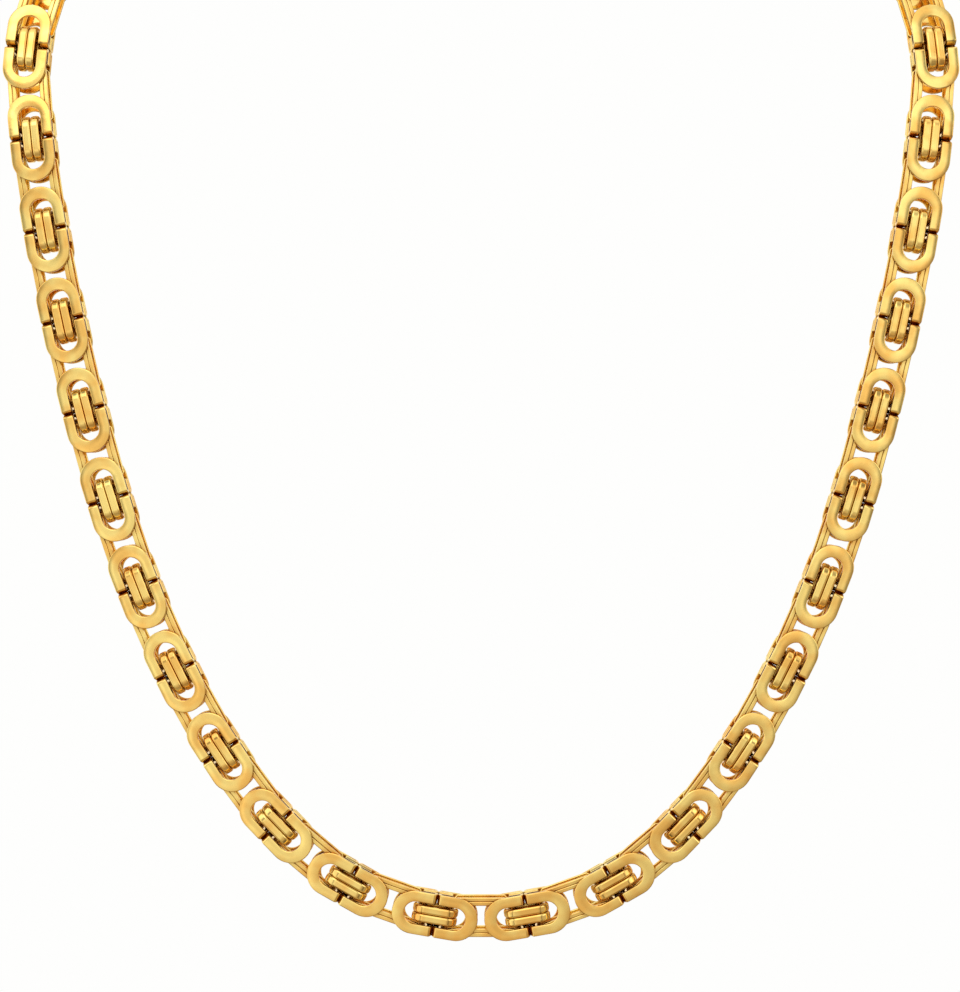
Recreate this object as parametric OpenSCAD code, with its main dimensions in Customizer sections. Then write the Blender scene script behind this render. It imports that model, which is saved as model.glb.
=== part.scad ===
// Flat byzantine neck chain, hanging as it is worn.
// An oval is a twin-bar centre link with the four bent face links that it holds, always straight.
// A pair of side links joins two ovals by the face links' cross wires. The chain curves there,
// and it nods to the front and back on its centre links.
// Frame: +X is the wearer's left, -Y the front, +Z up, the origin under the clasp.

/* [Chain] */
// Width of the chain over its face links
chain_w = 7.4; // [7:0.1:8.4]
// Thickness of the chain over its front and back faces
chain_d = 4.4; // [4.2:0.1:5.2]
// Length from one centre link to the next
pitch = 15.7; // [15:0.1:17]
// Sharpest bend between two ovals, in degrees
bend_max = 21; // [19:1:24]

/* [Face links] */
// Thickness of the flat front of a face link
plate_t = 0.55; // [0.4:0.05:0.6]
// Width of the open middle of a face link
hole_w = 3.9; // [3.7:0.1:4.1]
// Width of a face link's band at the crown of its arch
crown_w = 2.1; // [1.7:0.1:2.4]
// Gap between the arches that face each other across a bay
arch_gap = 1.0; // [0.6:0.1:1.4]
// Width of the leg that turns down into the chain's thickness
leg_w = 0.44; // [0.4:0.02:0.5]
// Width of the notch in the middle of each oval
notch_w = 0.5; // [0.46:0.02:0.7]

/* [Centre links] */
// Length of a centre link
core_l = 7.8; // [7:0.1:8.4]
// Width of the two bars of a centre link together
bar_w = 3; // [2.4:0.1:3]
// Width of the slit between the two bars
slit_w = 0.3; // [0.1:0.05:0.4]
// Depth of that slit
slit_d = 0.4; // [0.2:0.05:0.6]

/* [Side links] */
// Width of a side link where it passes through a face link, across the chain
rail_w = 0.94; // [0.7:0.02:0.96]
// How much wider, outward, a side link is between two ovals
rail_bulge = 0.5; // [0.2:0.05:0.6]
// Thickness of a side link's metal
rail_t = 0.5; // [0.35:0.05:0.55]

/* [Form] */
// Outward turn of the faces, in degrees
face_tilt = 4; // [0:1:6]
// Height of the flat front, above the lowest centre link
front_h = 132; // [120:1:150]
// Radius on which the stretch over the shoulders bends back
shoulder_r = 96; // [92:1:140]

/* [Clasp] */
// Wire of the two pairs of rings at the clasp
ring_wire = 1.2; // [1:0.1:1.3]
// Radius of the rings in the last centre links, to the middle of the wire
ring_r = 3.2; // [3.1:0.1:3.6]
// Radius of the rings in the clasp, to the middle of the wire
small_ring_r = 2.4; // [2.3:0.1:2.8]
// Width of the clasp
clasp_w = 6; // [5:0.5:8]
// Thickness of the clasp
clasp_t = 1.6; // [1:0.1:1.8]
// Width of the rim round the clasp's two eyes
eye_rim = 1.2; // [1:0.1:1.3]

/* [Fit] */
// Clearance between links that pass through each other
clear = 0.12; // [0.1:0.01:0.14]

/* [Hidden] */

// Right half of the route, laid out flat: across from the middle, up from the lowest point
ROUTE = [
    [0, 0], [10, 0.7], [17, 2.9], [24, 6.5], [31, 11.9], [38, 19.4], [44.5, 28.6],
    [51, 40], [57, 53], [62, 67], [66, 80.5], [69.3, 94], [72.2, 107], [74.7, 121],
    [76.5, 134], [77.4, 147], [76, 156.5], [73.2, 164], [69.5, 170.5], [65, 176.8],
    [59.5, 182.3], [53.2, 187], [46, 190.6], [38.5, 193.2], [30.5, 194.9], [22, 195.8],
    [11, 196.2], [0, 196.3]
];
ROUTE_STEPS = 12;
FINE = 48;
GOLD = "#E9B94C";
GOLD_SHADE = "#C98F2E";

half_w = chain_w / 2;
half_d = chain_d / 2;
half_bend = bend_max / 2;
// Most that two bays lean to the front or back on their centre link, in degrees
half_nod = 6;

// Layers, counted from the chain's middle plane outward
rail_out = half_d - plate_t - clear;
rail_in = rail_out - rail_t;
wire_out = rail_in - clear;
// How far a leg reaches past the cross wire that it carries
leg_lap = 0.06;
wire_d = wire_out - clear / 2 - leg_lap;

// Places along a bay, counted from the middle of the centre link
// A side link reaches past the wire, and its ends move as far as swing when the chain curves
rail_reach = wire_d / 2 + rail_w / 2 * sin(half_bend) + clear + rail_t;
rail_v = half_w - leg_w - clear - rail_reach * sin(half_bend) - rail_w / 2;
swing = rail_v * sin(half_bend);
wire_u = 2 * swing + rail_reach + clear;
rail_l = pitch - 2 * wire_u * cos(half_bend) + 2 * swing + 2 * rail_reach;
leg_end = notch_w / 2;
leg_l = wire_u + wire_d / 2 + leg_lap - leg_end;
bulge_l = pitch - 2 * (leg_end + leg_l) - 2 * half_w * sin(half_bend) - 2 * clear;
arch_u = (pitch - arch_gap) / 2 - half_w;
hole_u = arch_u + half_w - crown_w - hole_w / 2;
core_in = wire_out + clear + wire_u * sin(half_nod);
core_t = half_d - core_in;
core_r = half_d * 0.9;
leg_r = plate_t * 0.9;

// Route: a smooth curve through the chosen points, wrapped back over the shoulders
function on_curve(a, b, c, d, t) =
    0.5 * (2 * b + (c - a) * t + (2 * a - 5 * b + 4 * c - d) * t * t
           + (3 * b - a - 3 * c + d) * t * t * t);
function mirrored(q) = [-q.x, q.y];
last = len(ROUTE) - 1;
function route_at(i) = i < 0 ? mirrored(ROUTE[-i]) : i > last ? mirrored(ROUTE[2 * last - i]) : ROUTE[i];
function wrap(q) =
    let (lean = max(0, q.y - front_h) / shoulder_r * 180 / PI)
    lean == 0 ? [q.x, 0, q.y]
              : [q.x, shoulder_r * (1 - cos(lean)), front_h + shoulder_r * sin(lean)];
LINE = [
    for (i = [0:last - 1], k = [0:ROUTE_STEPS - 1])
        wrap(on_curve(route_at(i - 1), ROUTE[i], ROUTE[i + 1], route_at(i + 2), k / ROUTE_STEPS)),
    wrap(ROUTE[last])
];

// Direction that the chain's face has at a height on the route
function facing(q) =
    let (lean = q.z <= front_h ? 0 : atan2(q.z - front_h, shoulder_r - q.y))
    [0, -cos(lean), sin(lean)];
function unit(a) = a / norm(a);

// Steps of one bay along the line, from one centre link to the next
function first_past(q, reach, i) = norm(LINE[i] - q) >= reach ? i : first_past(q, reach, i + 1);
function step_to(q, reach, i) =
    let (a = LINE[i - 1], d = LINE[i] - a, w = a - q, dd = d * d, dw = d * w)
    a + d * (-dw + sqrt(dw * dw - dd * (w * w - reach * reach))) / dd;
function walk(q, i, n) =
    n == 0 ? [q] : let (j = first_past(q, pitch, i)) concat([q], walk(step_to(q, pitch, j), j, n - 1));
function past_middle(i) = LINE[i].x >= pitch / 2 ? i : past_middle(i + 1);
function at_middle(i) =
    let (a = LINE[i - 1], d = LINE[i] - a) a + d * (pitch / 2 - a.x) / d.x;
function length_from(i) = i >= len(LINE) - 1 ? 0 : norm(LINE[i + 1] - LINE[i]) + length_from(i + 1);

middle_i = past_middle(1);
// Room kept at the nape for half of the clasp and its rings
nape_room = 18;
bays = floor((length_from(middle_i) - nape_room) / pitch);
CORES = walk(at_middle(middle_i), middle_i, bays);

// Frames of the bays between two centre links: [along, across, outward, place], with the face
// turned outward by face_tilt
function frame_of(along, face, place) =
    let (out = unit(face - (face * along) * along), side = cross(along, out),
         n = cos(face_tilt) * out + sin(face_tilt) * side)
    [along, cross(n, along), n, place];
BAYS = [
    for (i = [0:bays - 1])
        let (a = CORES[i], b = CORES[i + 1], m = (a + b) / 2)
        frame_of(unit(b - a), facing(m), m)
];
MIDDLE = frame_of([1, 0, 0], [0, -1, 0], [0, 0, CORES[0].z]);
function bay_before(i) = i == 0 ? MIDDLE : BAYS[i - 1];
function between(a, b, place) =
    let (along = unit(a[0] + b[0]), n = a[2] + b[2], out = unit(n - (n * along) * along))
    [along, cross(out, along), out, place];
CORE_FRAMES = [
    for (i = [0:bays]) between(bay_before(i), i == bays ? BAYS[i - 1] : BAYS[i], CORES[i])
];
END = CORE_FRAMES[bays];

// The two ends of each bay: its face links lie in its plane, straight with the centre link there
function end_frame(n, way, place) =
    let (along = unit(way - (way * n) * n)) [along, cross(n, along), n, place];
BAY_ENDS = [
    for (i = [0:bays - 1], n = [BAYS[i][2]])
        [end_frame(n, CORE_FRAMES[i][0], CORES[i]), end_frame(n, CORE_FRAMES[i + 1][0], CORES[i + 1])]
];
MIDDLE_ENDS =
    let (n = MIDDLE[2], way = CORE_FRAMES[0][0], q = CORES[0])
    [end_frame(n, [way.x, -way.y, -way.z], [-q.x, q.y, q.z]), end_frame(n, way, q)];
function at(f, u, v) = f[3] + f[0] * u + f[1] * v;
function side_frame(n, p, q) = let (along = unit(q - p)) [along, cross(n, along), n, (p + q) / 2];

// Clasp: a ring in the last centre link, a small ring in that, and the clasp's eye in that
core_end_in = core_l / 2 - core_t;
ring_u = core_end_in - clear + sqrt(pow(ring_r - ring_wire / 2, 2) - pow(bar_w / 2, 2));
small_ring_u = ring_u + ring_r - ring_wire - clear + small_ring_r;
eye_u = small_ring_u - clear
    + sqrt(pow(small_ring_r - ring_wire / 2, 2) - pow(clasp_t / 2, 2));
ring_place = END[3] + END[0] * ring_u;
joint_place = END[3] + END[0] * (ring_u + ring_r);
small_along = unit(END[0] + [-1, 0, 0]);
small_place = joint_place + small_along * (small_ring_u - ring_u - ring_r);
eye_place = joint_place + small_along * (eye_u - ring_u - ring_r);
clasp_face = facing(small_place);
clasp_across = [0, -clasp_face.z, clasp_face.y];
ORIGIN = [0, eye_place.y, eye_place.z] + clasp_across * clasp_w / 2;
clasp_l = 2 * (eye_place.x + eye_rim);
eye_d = 1.8 * ring_wire;

module put(f) {
    place = f[3] - ORIGIN;
    multmatrix([
        [f[0].x, f[1].x, f[2].x, place.x],
        [f[0].y, f[1].y, f[2].y, place.y],
        [f[0].z, f[1].z, f[2].z, place.z],
        [0, 0, 0, 1]
    ]) children();
}

module rounded(l, h, r) {
    square([l, h - 2 * r], center = true);
    square([l - 2 * r, h], center = true);
    for (x = [-1, 1], y = [-1, 1])
        translate([x * (l / 2 - r), y * (h / 2 - r)]) circle(r, $fn = FINE);
}

// A link that stands on edge: a long ring of flat metal, round at its corners
module edge_ring(l, h, t, w, r) {
    rotate([90, 0, 0]) linear_extrude(w, center = true) difference() {
        rounded(l, h, r);
        rounded(l - 2 * t, h - 2 * t, max(r - t, t / 2));
    }
}

// Two bars side by side, soldered along a slit, that hold two bays together
module centre_link() {
    color(GOLD) difference() {
        edge_ring(core_l, chain_d, core_t, bar_w, core_r);
        for (z = [-1, 1])
            translate([0, 0, z * (half_d - slit_d / 2 + clear / 2)])
                cube([core_l, slit_w, slit_d + clear], center = true);
    }
}

// A flat arch, widest at its crown, whose two legs turn down at the notch and meet in a cross wire
module face_link() {
    translate([0, 0, half_d - plate_t]) linear_extrude(plate_t) {
        difference() {
            translate([arch_u, 0]) circle(half_w, $fn = 2 * FINE);
            translate([arch_u - half_w, -half_w]) square([half_w, chain_w]);
            translate([hole_u, 0]) circle(d = hole_w, $fn = 2 * FINE);
            translate([hole_u - hole_w, -hole_w / 2]) square([hole_w, hole_w]);
        }
        for (y = [-half_w, hole_w / 2])
            translate([leg_end + leg_r, y]) square([arch_u - leg_end - leg_r, half_w - hole_w / 2]);
    }
    for (y = [-1, 1])
        translate([leg_end + leg_l / 2, y * (half_w - leg_w / 2), (half_d + clear / 2) / 2])
            rotate([90, 0, 0]) linear_extrude(leg_w, center = true)
                rounded(leg_l, half_d - clear / 2, leg_r);
    translate([wire_u, 0, wire_out - wire_d / 2])
        rotate([90, 0, 0]) cylinder(d = wire_d, h = chain_w - leg_w, center = true, $fn = FINE);
}

// A ring on edge that widens to its outer side, +v, between the legs of the ovals that it joins
module side_link() {
    inner = -rail_w / 2;
    outer = rail_w / 2;
    intersection() {
        translate([0, rail_bulge / 2, 0])
            edge_ring(rail_l, 2 * rail_out, rail_t, rail_w + rail_bulge, rail_out * 0.6);
        linear_extrude(chain_d, center = true) polygon([
            [-rail_l, inner], [rail_l, inner], [rail_l, outer], [bulge_l / 2, outer],
            [bulge_l / 2 - rail_bulge, outer + rail_bulge], [rail_bulge - bulge_l / 2, outer + rail_bulge],
            [-bulge_l / 2, outer], [-rail_l, outer]
        ]);
    }
}

// Two side links and the four face links whose cross wires they hold, between two centre links
module bay(ends) {
    from = ends[0];
    to = ends[1];
    color(GOLD_SHADE) for (y = [-1, 1])
        put(side_frame(from[2], at(from, wire_u, y * rail_v), at(to, -wire_u, y * rail_v)))
            mirror([0, y < 0 ? 1 : 0, 0]) side_link();
    color(GOLD) for (flip = [0, 180]) {
        put(from) rotate([flip, 0, 0]) face_link();
        put(to) rotate([flip, 0, 180]) face_link();
    }
}

module half_chain() {
    for (ends = BAY_ENDS) bay(ends);
    for (f = CORE_FRAMES) put(f) centre_link();
}

module chain_right() {
    bay(MIDDLE_ENDS);
    half_chain();
}

module chain_left() {
    mirror([1, 0, 0]) half_chain();
}

module ring(r) {
    rotate_extrude($fn = 2 * FINE) translate([r, 0]) circle(d = ring_wire, $fn = FINE / 2);
}

// The large ring lies in the chain's face, and the small one stands on edge in it
module ring_pair() {
    put([END[0], END[1], END[2], ring_place]) ring(ring_r);
    put([small_along, cross(clasp_face, small_along), clasp_face, small_place])
        rotate([90, 0, 0]) ring(small_ring_r);
}

module clasp_rings() {
    color(GOLD_SHADE) {
        ring_pair();
        mirror([1, 0, 0]) ring_pair();
    }
}

// A plain flat clasp with an eye at each end
module clasp() {
    eye_x = clasp_l / 2 - eye_rim - eye_d / 2;
    color(GOLD) put([[1, 0, 0], -clasp_across, clasp_face, [0, eye_place.y, eye_place.z]])
        difference() {
            linear_extrude(clasp_t, center = true) rounded(clasp_l, clasp_w, clasp_w * 0.4);
            for (x = [-1, 1])
                translate([x * eye_x, 0, 0]) cylinder(d = eye_d, h = 2 * clasp_t, center = true, $fn = FINE);
        }
}

chain_right();
chain_left();
clasp();
clasp_rings();
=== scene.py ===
"""Flat byzantine neck chain, gold plated, hanging as it is worn: links, clasp, tent, lights, camera."""
import math

import bpy
import numpy as np
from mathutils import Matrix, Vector


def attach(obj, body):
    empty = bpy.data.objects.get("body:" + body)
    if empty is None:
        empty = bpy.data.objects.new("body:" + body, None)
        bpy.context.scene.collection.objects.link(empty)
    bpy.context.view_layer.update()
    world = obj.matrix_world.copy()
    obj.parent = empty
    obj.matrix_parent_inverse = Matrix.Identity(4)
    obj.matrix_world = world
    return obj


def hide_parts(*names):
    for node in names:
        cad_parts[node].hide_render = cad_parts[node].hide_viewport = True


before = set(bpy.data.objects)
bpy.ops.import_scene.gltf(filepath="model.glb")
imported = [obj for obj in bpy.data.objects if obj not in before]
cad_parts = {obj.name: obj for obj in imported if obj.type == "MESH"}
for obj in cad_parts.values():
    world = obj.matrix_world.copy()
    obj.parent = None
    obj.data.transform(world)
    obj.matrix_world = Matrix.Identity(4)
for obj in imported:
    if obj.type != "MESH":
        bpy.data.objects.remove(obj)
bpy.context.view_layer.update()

# The chain's route
# A bay is the stretch between two centre links. The lower front hangs flat, and the stretch
# over the shoulders is wrapped back on a round form. An oval, which is a centre link and the
# face links that it holds, is straight. The chain curves where side links join two ovals.
MM = 0.001
PITCH = 15.7
FACE_TILT = math.radians(4)
FRONT_H = 132.0
SHOULDER_R = 96.0
BAYS = 16
ROUTE_STEPS = 12
# Millimetres across and up, from the lowest point over the wearer's left shoulder to the nape
ROUTE = np.array([
    [0, 0], [10, 0.7], [17, 2.9], [24, 6.5], [31, 11.9], [38, 19.4], [44.5, 28.6],
    [51, 40], [57, 53], [62, 67], [66, 80.5], [69.3, 94], [72.2, 107], [74.7, 121],
    [76.5, 134], [77.4, 147], [76, 156.5], [73.2, 164], [69.5, 170.5], [65, 176.8],
    [59.5, 182.3], [53.2, 187], [46, 190.6], [38.5, 193.2], [30.5, 194.9], [22, 195.8],
    [11, 196.2], [0, 196.3],
])


def unit(a):
    """Each vector of the last axis divided by its length."""
    return a / np.linalg.norm(a, axis=-1, keepdims=True)


def smooth_line(points, steps):
    """A smooth curve through the points: each span is the cubic through its two points whose
    slope at a point is half the step between that point's neighbours. Past both ends the line
    goes on mirrored in x."""
    flip = np.array([-1.0, 1.0])
    ring = np.vstack([points[1] * flip, points, points[-2] * flip])
    a, b, c, d = ring[:-3, None], ring[1:-2, None], ring[2:-1, None], ring[3:, None]
    t = (np.arange(steps) / steps)[None, :, None]
    curve = 0.5 * (2 * b + (c - a) * t + (2 * a - 5 * b + 4 * c - d) * t ** 2
                   + (3 * b - a - 3 * c + d) * t ** 3)
    return np.vstack([curve.reshape(-1, 2), points[-1:]])


def wrap(flat):
    """The flat layout (across, up) in space: past FRONT_H, up runs on a circle of SHOULDER_R."""
    lean = np.maximum(0, flat[:, 1] - FRONT_H) / SHOULDER_R
    up = np.where(lean > 0, FRONT_H + SHOULDER_R * np.sin(lean), flat[:, 1])
    return np.stack([flat[:, 0], SHOULDER_R * (1 - np.cos(lean)), up], axis=-1)


def facing(place):
    """The way the chain's face looks at a place: square to the round form that it lies on."""
    lean = np.where(place[..., 2] > FRONT_H,
                    np.arctan2(place[..., 2] - FRONT_H, SHOULDER_R - place[..., 1]), 0)
    return np.stack([0 * lean, -np.cos(lean), np.sin(lean)], axis=-1)


def stations_along(line, first, pitch, count):
    """Places one pitch apart in a straight line: each is where a sphere round the last one, of
    radius pitch, cuts the line."""
    places = [first]
    for _ in range(count):
        q = places[-1]
        far = (np.linalg.norm(line - q, axis=1) >= pitch) & (line[:, 2] > q[2])
        i = int(np.argmax(far))
        a, d = line[i - 1], line[i] - line[i - 1]
        w = a - q
        dd, dw = d @ d, d @ w
        places.append(a + d * (-dw + math.sqrt(dw * dw - dd * (w @ w - pitch * pitch))) / dd)
    return np.array(places)


def frames(along, face, place, tilt):
    """Rows [along, across, outward, place]: outward is face made square to along, then turned
    by tilt towards the loop's outer side."""
    out = unit(face - np.sum(face * along, -1, keepdims=True) * along)
    side = np.cross(along, out)
    n = math.cos(tilt) * out + math.sin(tilt) * side
    return np.stack([along, np.cross(n, along), n, place], axis=-2)


line = wrap(smooth_line(ROUTE, ROUTE_STEPS))
cross = int(np.argmax(line[:, 0] >= PITCH / 2))
step = line[cross] - line[cross - 1]
first = line[cross - 1] + step * (PITCH / 2 - line[cross - 1, 0]) / step[0]
joints = stations_along(line, first, PITCH, BAYS)
middles = (joints[1:] + joints[:-1]) / 2
bays = frames(unit(joints[1:] - joints[:-1]), facing(middles), middles, FACE_TILT)
middle_bay = frames(np.array([[1.0, 0, 0]]), np.array([[0, -1.0, 0]]),
                    np.array([[0, 0, first[2]]]), FACE_TILT)
before = np.concatenate([middle_bay, bays])
after = np.concatenate([bays, bays[-1:]])
cores = frames(unit(before[:, 0] + after[:, 0]), before[:, 2] + after[:, 2], joints, 0.0)

# How the links pass each other
# Each link clears its neighbours by the same small gap, so the depth of one decides where the
# next one lies. u runs along an oval from its middle, v across it, and n out of its face.
CLEAR = 0.12
LAP = 0.06
HALF_W = 3.7
HALF_D = 2.2
PLATE_T = 0.55
LEG_W = 0.44
RAIL_W = 0.94
RAIL_T = 0.5
CORE_L = 7.8
BAR_W = 3.0
HALF_BEND = math.radians(10.5)
HALF_NOD = math.radians(6)
RAIL_OUT = HALF_D - PLATE_T - CLEAR
WIRE_OUT = RAIL_OUT - RAIL_T - CLEAR
WIRE_D = WIRE_OUT - CLEAR / 2 - LAP
RAIL_REACH = WIRE_D / 2 + RAIL_W / 2 * math.sin(HALF_BEND) + CLEAR + RAIL_T
RAIL_V = HALF_W - LEG_W - CLEAR - RAIL_REACH * math.sin(HALF_BEND) - RAIL_W / 2
SWING = RAIL_V * math.sin(HALF_BEND)
WIRE_U = 2 * SWING + RAIL_REACH + CLEAR
CORE_T =HALF_D - WIRE_OUT - CLEAR - WIRE_U * math.sin(HALF_NOD)

# The clasp's end
# A jump ring hangs in the last centre link, a small one in that ring, and the clasp's eye in
# the small ring. The part's origin is the middle of the clasp's lower edge.
RING_WIRE = 1.2
RING_R = 3.2
SMALL_RING_R = 2.4
CLASP_W = 6.0
CLASP_T = 1.6
end = cores[-1]
ring_u = CORE_L / 2 - CORE_T - CLEAR + math.sqrt((RING_R - RING_WIRE / 2) ** 2 - (BAR_W / 2) ** 2)
small_ring_u = ring_u + RING_R - RING_WIRE - CLEAR + SMALL_RING_R
eye_u = small_ring_u - CLEAR + math.sqrt((SMALL_RING_R - RING_WIRE / 2) ** 2 - (CLASP_T / 2) ** 2)
joint_place = end[3] + end[0] * (ring_u + RING_R)
small_along = unit(end[0] + np.array([-1.0, 0, 0]))
small_place = joint_place + small_along * (small_ring_u - ring_u - RING_R)
eye_place = joint_place + small_along * (eye_u - ring_u - RING_R)
clasp_face = facing(small_place)
clasp_across = np.array([0, -clasp_face[2], clasp_face[1]])
origin = np.array([0, eye_place[1], eye_place[2]]) + clasp_across * CLASP_W / 2

# Where each link lies
# Every kind of link is made once at the origin and copied into frames. The left half's frames
# mirror the right half's, and the bay in the middle of the front has its own.


def both_sides(rows, turned_row=1):
    """The right half's frames and their mirror images in x. One row, across or along, changes its
    sign there, so that the frame stays right-handed."""
    left = rows * [-1.0, 1, 1]
    left[:, turned_row] *= -1
    return np.concatenate([rows, left])


def end_frames(n, along, place):
    """Frames of the face links at one end of each bay: in the bay's plane, along the oval."""
    along = unit(along - np.sum(along * n, -1, keepdims=True) * n)
    return np.stack([along, np.cross(n, along), n, place], axis=1)


def side_frames(n, starts, stops, v):
    """Frames of the side links at v: each in the middle of the line between two cross wires,
    with across pointing out of the chain."""
    p = starts[:, 3] + starts[:, 0] * WIRE_U + starts[:, 1] * v
    q = stops[:, 3] - stops[:, 0] * WIRE_U + stops[:, 1] * v
    along = unit(q - p) * np.sign(v)
    return np.stack([along, np.cross(n, along), n, (p + q) / 2], axis=1)


mirrored_along = cores[:1, 0] * [1.0, -1, -1]
mirrored_place = cores[:1, 3] * [-1.0, 1, 1]
middle_starts = end_frames(middle_bay[:, 2], mirrored_along, mirrored_place)
middle_stops = end_frames(middle_bay[:, 2], cores[:1, 0], cores[:1, 3])
bay_starts = end_frames(bays[:, 2], cores[:-1, 0], cores[:-1, 3])
bay_stops = end_frames(bays[:, 2], cores[1:, 0], cores[1:, 3])
starts = np.concatenate([middle_starts, both_sides(bay_starts)])
stops = np.concatenate([middle_stops, both_sides(bay_stops)])
sides = np.concatenate([
    np.concatenate([side_frames(middle_bay[:, 2], middle_starts, middle_stops, v),
                    both_sides(side_frames(bays[:, 2], bay_starts, bay_stops, v), 0)])
    for v in (-RAIL_V, RAIL_V)
])
all_cores = both_sides(cores)

# Gold plate
# Stainless steel links plated with yellow gold and tumbled to a mirror. The eye sees a bright
# warm metal whose reflections deepen to orange and brown where one link mirrors another; the
# colour also has a painted brown shade in crevices close to other metal.
PATCH_MM = 4
POLISH_MM = 1.5
RIPPLE_MM = 0.9
RIPPLE_H_MM = 0.03
CREVICE_MM = 1.2
# The painted shade's brown, which the colour takes in crevices close to other metal
CREVICE_PAINTED_SHADE = "#9A6428"


def linear(hex_colour):
    """A colour written as sRGB hex, turned to linear light."""
    c = np.array([int(hex_colour[i:i + 2], 16) / 255 for i in (1, 3, 5)])
    c = np.where(c <= 0.04045, c / 12.92, ((c + 0.055) / 1.055) ** 2.4)
    return (*c.tolist(), 1.0)


def add(owner, kind, settings, **links):
    """One node in a material's or world's tree, with its settings and socket values by name,
    and its inputs linked from other nodes."""
    node = owner.node_tree.nodes.new(kind)
    for name, value in settings.items():
        if name in node.inputs:
            node.inputs[name].default_value = value
        else:
            setattr(node, name, value)
    for name, source in links.items():
        owner.node_tree.links.new(source, node.inputs[name.replace("_", " ")])
    return node


def gold_plate(name, colour, deep, roughness):
    """Polished plate: slow patches between colour and deep, a polish that varies, and fine
    tumbling ripples, each on the object's own millimetres. Crevices close to other metal get
    a painted brown shade, mixed into the colour by ambient occlusion."""
    material = bpy.data.materials.new(name)
    material.use_nodes = True
    tree = material.node_tree
    tree.nodes.clear()
    where = add(material, "ShaderNodeTexCoord", {}).outputs["Object"]
    patches = add(material, "ShaderNodeTexNoise", {"Scale": 1 / (PATCH_MM * MM), "Detail": 2.0},
                  Vector=where)
    tint = add(material, "ShaderNodeValToRGB", {}, Fac=patches.outputs["Fac"])
    tint.color_ramp.elements[0].position = 0.36
    tint.color_ramp.elements[0].color = linear(deep)
    tint.color_ramp.elements[1].position = 0.62
    tint.color_ramp.elements[1].color = linear(colour)
    polish = add(material, "ShaderNodeTexNoise", {"Scale": 1 / (POLISH_MM * MM), "Detail": 3.0},
                 Vector=where)
    rough = add(material, "ShaderNodeMapRange",
                {"From Min": 0.3, "From Max": 0.7, "To Min": roughness * 0.7, "To Max": roughness * 1.4},
                Value=polish.outputs["Fac"])
    ripple = add(material, "ShaderNodeTexNoise", {"Scale": 1 / (RIPPLE_MM * MM), "Detail": 2.0},
                 Vector=where)
    bump = add(material, "ShaderNodeBump", {"Strength": 0.25, "Distance": RIPPLE_H_MM * MM},
               Height=ripple.outputs["Fac"])
    # Painted shade: ambient occlusion turns the colour towards a painted brown close to other metal
    painted_shade_ao = add(material, "ShaderNodeAmbientOcclusion", {"samples": 3, "Distance": CREVICE_MM * MM})
    painted_shade_share = add(material, "ShaderNodeMapRange", {"From Min": 0.2, "From Max": 0.85},
                Value=painted_shade_ao.outputs["AO"])
    shade = add(material, "ShaderNodeMix", {"data_type": "RGBA"}, Factor=painted_shade_share.outputs["Result"])
    shade.inputs[6].default_value = linear(CREVICE_PAINTED_SHADE)
    tree.links.new(tint.outputs["Color"], shade.inputs[7])
    metal = add(material, "ShaderNodeBsdfPrincipled", {"Metallic": 1.0}, Base_Color=shade.outputs[2],
                Roughness=rough.outputs["Result"], Normal=bump.outputs["Normal"])
    add(material, "ShaderNodeOutputMaterial", {}, Surface=metal.outputs["BSDF"])
    return material


GOLD = gold_plate("polished_gold_plate", "#FFE289", "#F8C468", 0.12)

# Face links
# Flat arches stamped from plate, two in front and two behind in each oval. Each has two legs
# that turn down into the notch's V and run into a cross wire, so that it is one bent ring.
ARCH_GAP = 1.0
HOLE_W = 3.9
CROWN_W = 2.1
ARCH_U = (PITCH - ARCH_GAP) / 2 - HALF_W
HOLE_R = HOLE_W / 2
HOLE_U = ARCH_U + HALF_W - CROWN_W - HOLE_R
ARCH_EDGE = 0.16
ARCH_DOME = 0.06
ARCH_STEPS = 11
# The notch: its rounded lips, how far they turn down, the V's bottom and half the slit there
LIP_U = 0.26
LIP_R = 0.45
LIP_TURN = math.radians(68)
LIP_STEPS = 4
VALLEY_N = 1.2
HALF_SLIT = 0.04
LEG_END = 0.25
LEG_L = WIRE_U + WIRE_D / 2 + LAP - LEG_END
LEG_EDGE = 0.15
LEG_TOP_N = 1.0
# The foot of a leg, which bends over into the cross wire
FOOT = 0.3
FOOT_IN = 0.05
FOOT_EDGE = 0.2
WIRE_START = 0.5
WIRE_EDGE = WIRE_D * 0.45


def tube(centre, wide, thick, half_wide, half_thick, corner, points, dome=0.0):
    """A rounded rectangle carried along a closed path. Section point = centre
    + wide * (+-(half_wide - corner) + corner cos a) + thick * (+-(half_thick - corner) + corner sin a),
    with a over a quarter turn at each corner. The front rises by dome * (1 - x squared), x being
    the share of half_wide. Returns points and normals of shape (stations, 4 * points, 3)."""
    a = (np.arange(4)[:, None] * 90 + np.linspace(0, 90, points)[None, :]).ravel() * math.pi / 180
    sx = np.repeat([1, -1, -1, 1], points)
    sy = np.repeat([1, 1, -1, -1], points)
    ca, sa = np.cos(a), np.sin(a)
    hw, ht, r = (np.asarray(v, float)[:, None] for v in (half_wide, half_thick, corner))
    x = sx * (hw - r) + r * ca
    y = sy * (ht - r) + r * sa
    rise = dome * np.clip(1 - (x / hw) ** 2, 0, 1) * (y > 0)
    nx, ny = ca[None, :] + 2 * dome * x / hw ** 2 * (y > 0), sa[None, :] + 0 * x
    spots = centre[:, None] + wide[:, None] * x[..., None] + thick[:, None] * (y + rise)[..., None]
    normals = unit(wide[:, None] * nx[..., None] + thick[:, None] * ny[..., None])
    return spots, normals


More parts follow.
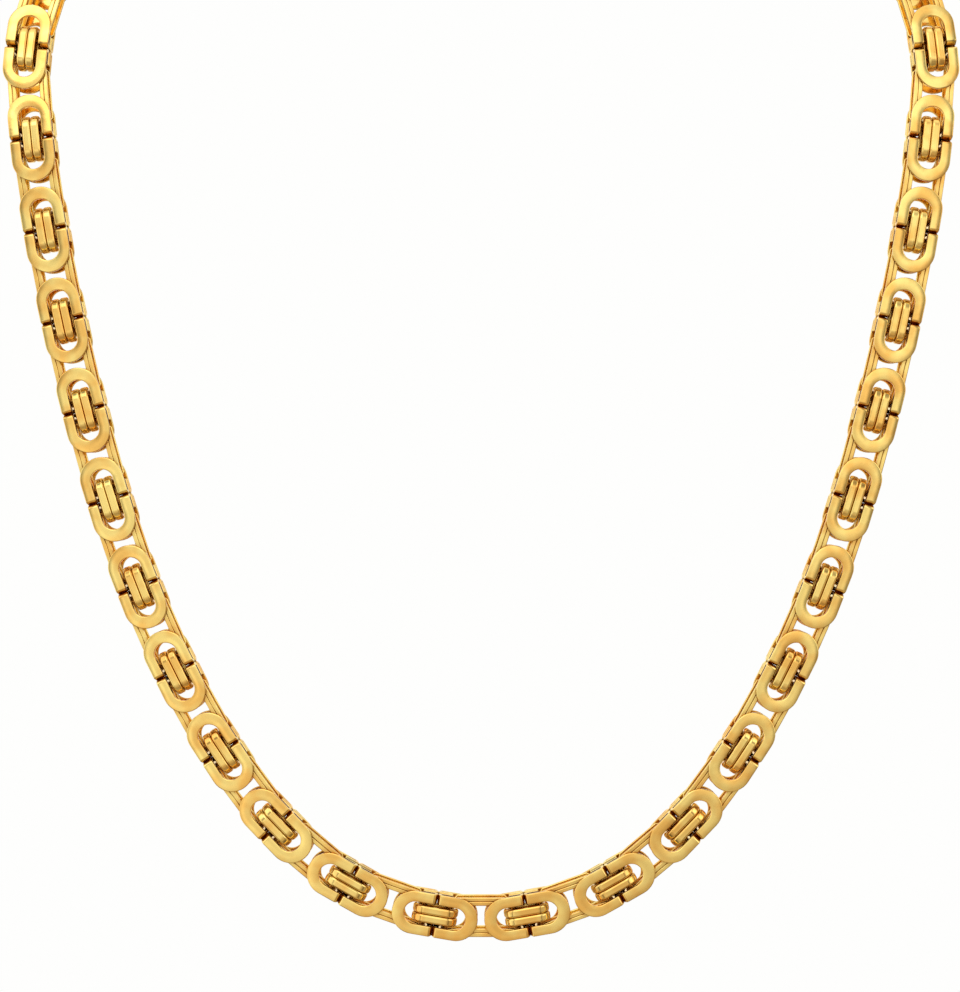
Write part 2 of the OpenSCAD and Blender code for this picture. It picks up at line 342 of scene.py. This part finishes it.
def tube_faces(spots):
    """Quads of a closed grid of points: each joins point (i, j) to its next station and its next
    point. They are turned round where the solid's volume, summed over the quads, is negative."""
    stations, around = spots.shape[:2]
    i, j = np.meshgrid(np.arange(stations), np.arange(around), indexing="ij")
    i1, j1 = (i + 1) % stations, (j + 1) % around
    quads = np.stack([i * around + j, i1 * around + j, i1 * around + j1, i * around + j1], axis=-1)
    quads = quads.reshape(-1, 4)
    a, b, c, d = spots.reshape(-1, 3)[quads.T]
    volume = np.sum(np.cross(c - a, d - b) * a)
    return quads if volume > 0 else quads[:, ::-1]


def joined(name, parts, material, nodes):
    """One mesh of many tubes. Each part is (points, normals, quads) with a row for each copy."""
    spots, normals, quads, count = [], [], [], 0
    for p, n, q in parts:
        copies, per = p.shape[0], p.shape[1]
        offsets = count + np.arange(copies)[:, None, None] * per
        spots.append(p.reshape(-1, 3))
        normals.append(n.reshape(-1, 3))
        quads.append((q[None] + offsets).reshape(-1, 4))
        count += copies * per
    spots, normals, quads = np.vstack(spots), np.vstack(normals), np.vstack(quads)
    mesh = bpy.data.meshes.new(name)
    mesh.vertices.add(len(spots))
    mesh.vertices.foreach_set("co", ((spots - origin) * MM).ravel())
    mesh.loops.add(quads.size)
    mesh.loops.foreach_set("vertex_index", quads.ravel().astype(np.int32))
    mesh.polygons.add(len(quads))
    mesh.polygons.foreach_set("loop_start", np.arange(0, quads.size, 4, dtype=np.int32))
    mesh.polygons.foreach_set("use_smooth", np.ones(len(quads), dtype=bool))
    mesh.update(calc_edges=True)
    mesh.validate()
    mesh.normals_split_custom_set_from_vertices(normals)
    mesh.materials.append(material)
    piece = bpy.data.objects.new(name, mesh)
    bpy.context.collection.objects.link(piece)
    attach(piece, "root")
    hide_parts(*nodes)


def placed(shape, rows):
    """A link's (points, normals, quads), made at the origin, copied into each row's frame."""
    p, n, q = shape
    p, n = p.reshape(-1, 3), n.reshape(-1, 3)
    turn = rows[:, :3]
    return np.einsum("pk,bkc->bpc", p, turn) + rows[:, None, 3], np.einsum("pk,bkc->bpc", n, turn), q


def turned(shape, mirror_u, mirror_n):
    """The same link at the bay's other end or on its back: u and n change sign."""
    p, n, q = shape
    sign = np.array([mirror_u, 1.0, mirror_n])
    return p * sign, n * sign, q if mirror_u * mirror_n > 0 else q[:, ::-1]


def station(u, v, n, wide, thick, half_wide, half_thick, corner):
    """One section of a link's path: its middle, the ways its width and thickness point, their
    half sizes, and the radius of its corners."""
    return [u, v, n, *wide, *thick, half_wide, half_thick, corner]


def face_link():
    """Half of the closed path from the arch's crown to the cross wire's middle, then its mirror
    image. The arch lies between an outer circle and a smaller one set back from the crown. A
    leg's section turns about the lip's centre, runs down the V, and then widens along u."""
    phi = np.radians(np.linspace(0, 90, ARCH_STEPS))
    outer = np.stack([ARCH_U + HALF_W * np.cos(phi), HALF_W * np.sin(phi)], -1)
    inner = np.stack([HOLE_U + HOLE_R * np.cos(phi), HOLE_R * np.sin(phi)], -1)
    half_t = PLATE_T / 2
    plate_n = HALF_D - half_t
    leg_v, leg_hw = (HALF_W + HOLE_R) / 2, (HALF_W - HOLE_R) / 2
    leg_far = LEG_END + LEG_L
    deep_v = HALF_W - LEG_W / 2
    deep_u, deep_hu = (HALF_SLIT + leg_far) / 2, (leg_far - HALF_SLIT) / 2
    wire_n = WIRE_OUT - WIRE_D / 2
    across, back, down = (0, 1, 0), (-1, 0, 0), (0, 0, -1)
    slant = (0, math.sqrt(0.5), -math.sqrt(0.5))
    rows = []
    for o, i in zip(outer, inner, strict=True):
        c, d = (o + i) / 2, (o - i) / 2
        w = float(np.hypot(*d))
        rows.append(station(*c, plate_n, (*(d / w), 0), (0, 0, 1), w, half_t, ARCH_EDGE))
    for turn in np.linspace(0, LIP_TURN, LIP_STEPS):
        s, c = math.sin(turn), math.cos(turn)
        u = LIP_U + LIP_R - (LIP_R - half_t) * s
        n = HALF_D - LIP_R + (LIP_R - half_t) * c
        rows.append(station(u, leg_v, n, across, (-s, 0, c), leg_hw, half_t, LEG_EDGE))
    # The V's bottom, where the plate still leans as at the lip's end
    rows.append(station(HALF_SLIT + half_t * s, leg_v, VALLEY_N - half_t * c, across, (-s, 0, c),
                        leg_hw, half_t, LEG_EDGE))
    for n in (LEG_TOP_N, wire_n + FOOT):
        rows.append(station(deep_u, deep_v, n, across, back, LEG_W / 2, deep_hu, LEG_EDGE))
    rows.append(station(deep_u, deep_v - FOOT_IN, wire_n, slant, back, FOOT, deep_hu, FOOT_EDGE))
    for v in (deep_v - WIRE_START, 0):
        rows.append(station(WIRE_U, v, wire_n, down, back, WIRE_D / 2, WIRE_D / 2, WIRE_EDGE))
    half = np.array(rows)
    other = half[-2:0:-1].copy()
    other[:, [1, 4, 7]] *= -1
    path = np.vstack([half, other])
    shape = tube(path[:, 0:3], path[:, 3:6], path[:, 6:9], *path[:, 9:].T, points=4, dome=ARCH_DOME)
    return (*shape, tube_faces(shape[0]))


ARCH = face_link()
for name, side in (("face_links_front", 1), ("face_links_back", -1)):
    joined(name, [placed(turned(ARCH, 1, side), starts), placed(turned(ARCH, -1, side), stops)],
           GOLD, ["chain_right", "chain_left"])

# Side links
# Long rings that stand on edge at both sides, from notch to notch, each of two wires soldered
# side by side. They hold the cross wires of the bay's four face links.
RAIL_L = PITCH - 2 * WIRE_U * math.cos(HALF_BEND) + 2 * SWING + 2 * RAIL_REACH
RAIL_ROUND = 0.6
RAIL_EDGE = 0.17
# Between the ovals, where there is room, they are wider by this
RAIL_BULGE = 0.5
BULGE_L = PITCH - 2 * (LEG_END + LEG_L) - 2 * HALF_W * math.sin(HALF_BEND) - 2 * CLEAR
# How far a wire sinks into its twin, so that no light shows between them
SEAM = 0.01


def edge_ring(half_l, half_h, band, radius, corner, points, steps, low, high,
              bulge_l=0.0, low_bulge=0.0, high_bulge=0.0):
    """A rounded rectangle's outline in the u-n plane as the path, a quarter circle of steps
    stations at each corner, with a section band thick that reaches from low to high across.
    Between +-bulge_l / 2 these two move by low_bulge and high_bulge, on a short slope."""
    mid = radius - band / 2
    a = np.radians(np.linspace(0, 90, steps))
    corner_u, corner_n = half_l - radius + mid * np.cos(a), half_h - radius + mid * np.sin(a)
    slope = RAIL_BULGE
    side_u = np.array([bulge_l / 2, bulge_l / 2 - slope, slope - bulge_l / 2, -bulge_l / 2])
    side_u = side_u if bulge_l else side_u[:0]
    side_n, side_a = 0 * side_u + half_h - band / 2, 0 * side_u + math.pi / 2
    half_u = np.concatenate([corner_u, side_u, -corner_u[::-1]])
    half_n = np.concatenate([corner_n, side_n, corner_n[::-1]])
    half_a = np.concatenate([a, side_a, math.pi - a[::-1]])
    u, n, turn = (np.concatenate(v) for v in
                  ((half_u, -half_u), (half_n, -half_n), (half_a, half_a + math.pi)))
    share = np.clip((bulge_l / 2 - np.abs(u)) / slope, 0, 1)
    low, high = low + low_bulge * share, high + high_bulge * share
    path = np.stack([u, (low + high) / 2, n], -1)
    outward = np.stack([np.cos(turn), 0 * turn, np.sin(turn)], -1)
    across = np.tile([0.0, 1, 0], (len(u), 1))
    shape = tube(path, across, outward, (high - low) / 2, 0 * u + band / 2, 0 * u + corner, points)
    return (*shape, tube_faces(shape[0]))


# Each wire's inner and outer side, and how far each moves out between the ovals
WIRES = (
    (-RAIL_W / 2, SEAM, 0, RAIL_BULGE / 2),
    (-SEAM, RAIL_W / 2, RAIL_BULGE / 2, RAIL_BULGE),
)
RAILS = [edge_ring(RAIL_L / 2, RAIL_OUT, RAIL_T, RAIL_OUT * RAIL_ROUND, RAIL_EDGE, points=3, steps=5,
                   low=low, high=high, bulge_l=BULGE_L, low_bulge=low_bulge, high_bulge=high_bulge)
         for low, high, low_bulge, high_bulge in WIRES]
joined("side_links", [placed(rail, sides) for rail in RAILS],
       GOLD, ["chain_right", "chain_left"])

# Centre links
# The twin bars in the middle of each oval: two rings of round-topped wire that stand on edge,
# soldered side by side, so that a dark groove runs between them.
BAR_ROUND = 0.9
BAR_EDGE = 0.45
BARS = [edge_ring(CORE_L / 2, HALF_D, CORE_T, HALF_D * BAR_ROUND, BAR_EDGE, points=4, steps=7,
                  low=low, high=low + BAR_W / 2 + 2 * SEAM)
        for low in (-BAR_W / 2, -2 * SEAM)]
joined("centre_links", [placed(bar, all_cores) for bar in BARS],
       GOLD, ["chain_right", "chain_left"])

# Clasp and its rings
# A plain plated bar with an eye at each end, at the nape, where the photo's edge hides it, and
# two jump rings on each side. The solids are right as they are and get the plate's finish.
CLASP_GOLD = gold_plate("clasp_gold_plate", "#FAD17A", "#F6CA72", 0.17)
for node in ("clasp", "clasp_rings"):
    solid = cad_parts[node]
    solid.data.materials.clear()
    solid.data.materials.append(CLASP_GOLD)

# Floor and backdrop
# A light tent: one pale sheet of paper that is the floor and curves up into a round wall, and
# glows evenly by itself. The metal's reflections come from the room and the lamps.
FLOOR_Z = -0.4
WALL_R = 1.5
SWEEP_R = 0.5
WALL_TOP = 2.2
MIDDLE_R = 0.1


def round_room(around):
    """A profile of floor line, quarter circle and wall line, turned round the z axis. One flat
    face closes the floor's middle."""
    a = np.radians(np.linspace(0, 90, 17))
    r = np.concatenate([[MIDDLE_R], WALL_R - SWEEP_R + SWEEP_R * np.sin(a), [WALL_R]])
    z = np.concatenate([[FLOOR_Z], FLOOR_Z + SWEEP_R - SWEEP_R * np.cos(a), [WALL_TOP]])
    turn = np.arange(around) * 2 * math.pi / around
    spots = np.stack([np.outer(np.cos(turn), r), np.outer(np.sin(turn), r),
                      np.tile(z, (around, 1))], axis=-1)
    i, j = np.meshgrid(np.arange(around), np.arange(len(r) - 1), indexing="ij")
    n, i1 = len(r), (i + 1) % around
    quads = np.stack([i * n + j, i * n + j + 1, i1 * n + j + 1, i1 * n + j], axis=-1)
    middle = (np.arange(around) * n).tolist()
    mesh = bpy.data.meshes.new("backdrop")
    mesh.from_pydata(spots.reshape(-1, 3).tolist(), [], [*quads.reshape(-1, 4).tolist(), middle])
    return mesh


paper = bpy.data.materials.new("backlit_white_paper")
paper.use_nodes = True
paper.node_tree.nodes.clear()
glow = add(paper, "ShaderNodeEmission", {"Color": linear("#FEFEFD"), "Strength": 1.0})
add(paper, "ShaderNodeOutputMaterial", {}, Surface=glow.outputs["Emission"])
room = bpy.data.objects.new("backdrop", round_room(96))
room.data.materials.append(paper)
bpy.context.collection.objects.link(room)
room.visible_glossy = False

# Studio light
# Two large soft panels, one over the camera and one at the right, in a bright room. The room's
# light comes from all round, with two narrow dark bands that draw the edges of the links.
MIDDLE_Z = -0.11
KEY_WAY = (-0.4, 0.0, 0.85)
# The room's light from the side away from KEY_WAY, at 0, to the side towards it, at 1
ROOM_SHADES = (
    (0.25, (0.5, 0.4, 0.3, 1)),
    (0.5, (1.09, 1.07, 1.02, 1)),
    (0.9, (1.25, 1.24, 1.21, 1)),
)
# The dark bands: how far aside or behind, and the share of the light that is left there
ASIDE_BAND = ((0, 1), (0.3, 1), (0.45, 0.25), (0.6, 1))
BEHIND_BAND = ((0, 1), (0.25, 0.25), (0.42, 1))


def panel(name, place, target, size, power):
    """A square soft light of size metres at place, aimed at target."""
    light = bpy.data.lights.new(name, "AREA")
    light.shape = "SQUARE"
    light.size = size
    light.energy = power
    lamp = bpy.data.objects.new(name, light)
    bpy.context.collection.objects.link(lamp)
    lamp.location = place
    lamp.rotation_euler = (Vector(target) - Vector(place)).to_track_quat("-Z", "Y").to_euler()


def fill_ramp(ramp, stops):
    """A colour ramp's stops from (position, colour) pairs, the first two being there already."""
    for k, (position, colour) in enumerate(stops):
        stop = ramp.elements[k] if k < 2 else ramp.elements.new(position)
        stop.position = position
        stop.color = colour


def studio_air():
    """The room round the set as soft light: bright at the upper left, dimmer and warmer towards
    the lower right, with a dark band at both sides and one behind, which give the polished
    edges their brown outlines, and soft uneven patches."""
    world = bpy.data.worlds.new("studio")
    world.use_nodes = True
    world.node_tree.nodes.clear()
    way = add(world, "ShaderNodeTexCoord", {}).outputs["Generated"]
    key = add(world, "ShaderNodeVectorMath", {"operation": "DOT_PRODUCT"}, Vector=way)
    key.inputs[1].default_value = KEY_WAY
    height = add(world, "ShaderNodeMapRange", {"From Min": -1.0, "From Max": 1.0},
                 Value=key.outputs["Value"])
    shades = add(world, "ShaderNodeValToRGB", {}, Fac=height.outputs["Result"])
    fill_ramp(shades.color_ramp, ROOM_SHADES)
    parts = add(world, "ShaderNodeSeparateXYZ", {}, Vector=way)
    aside = add(world, "ShaderNodeMath", {"operation": "ABSOLUTE"})
    world.node_tree.links.new(parts.outputs["X"], aside.inputs[0])
    dim = add(world, "ShaderNodeMath", {"operation": "MINIMUM"})
    bands = ((aside.outputs["Value"], ASIDE_BAND), (parts.outputs["Y"], BEHIND_BAND))
    for k, (source, band) in enumerate(bands):
        curve = add(world, "ShaderNodeValToRGB", {}, Fac=source)
        fill_ramp(curve.color_ramp, [(position, (left, left, left, 1)) for position, left in band])
        world.node_tree.links.new(curve.outputs["Color"], dim.inputs[k])
    patches = add(world, "ShaderNodeTexNoise", {"Scale": 2.6, "Detail": 1.0}, Vector=way)
    uneven = add(world, "ShaderNodeMapRange",
                 {"From Min": 0.35, "From Max": 0.65, "To Min": 0.8, "To Max": 1.18},
                 Value=patches.outputs["Fac"])
    level = add(world, "ShaderNodeMath", {"operation": "MULTIPLY"})
    world.node_tree.links.new(dim.outputs["Value"], level.inputs[0])
    world.node_tree.links.new(uneven.outputs["Result"], level.inputs[1])
    light = add(world, "ShaderNodeBackground", {}, Color=shades.outputs["Color"],
                Strength=level.outputs["Value"])
    add(world, "ShaderNodeOutputWorld", {}, Surface=light.outputs["Background"])
    return world


panel("key_panel", (-0.3, -0.9, 0.55), (0, 0, MIDDLE_Z), size=0.7, power=1.2)
panel("fill_panel", (0.8, -0.6, 0.1), (0, 0, MIDDLE_Z), size=0.6, power=0.6)
bpy.context.scene.world = studio_air()
bpy.context.scene.view_settings.view_transform = "Standard"

# Camera
# Straight in front of the hanging chain, near enough to fill the picture at the photo's scale.
# The chain's middle line and the lowest point of its own centre line fall on the same pixels
# as in the photo.
PHOTO_W = 960
PHOTO_H = 992
CHAIN_MIDDLE_PX = 481
LOWEST_PX = 913.5
MM_PER_PX = 0.1706
DISTANCE = 0.48
SENSOR_MM = 24
front_y = -origin[1] * MM
low_z = (joints[0, 2] - origin[2]) * MM
lens = bpy.data.cameras.new("camera")
lens.sensor_fit = "VERTICAL"
lens.sensor_height = SENSOR_MM
lens.lens = SENSOR_MM * DISTANCE / (PHOTO_H * MM_PER_PX * MM)
lens.clip_start = 0.01
camera = bpy.data.objects.new("camera", lens)
bpy.context.collection.objects.link(camera)
camera.location = (-(CHAIN_MIDDLE_PX - PHOTO_W / 2) * MM_PER_PX * MM, front_y - DISTANCE,
                   low_z + (LOWEST_PX - PHOTO_H / 2) * MM_PER_PX * MM)
camera.rotation_euler = (math.radians(90), 0, 0)
bpy.context.scene.camera = camera
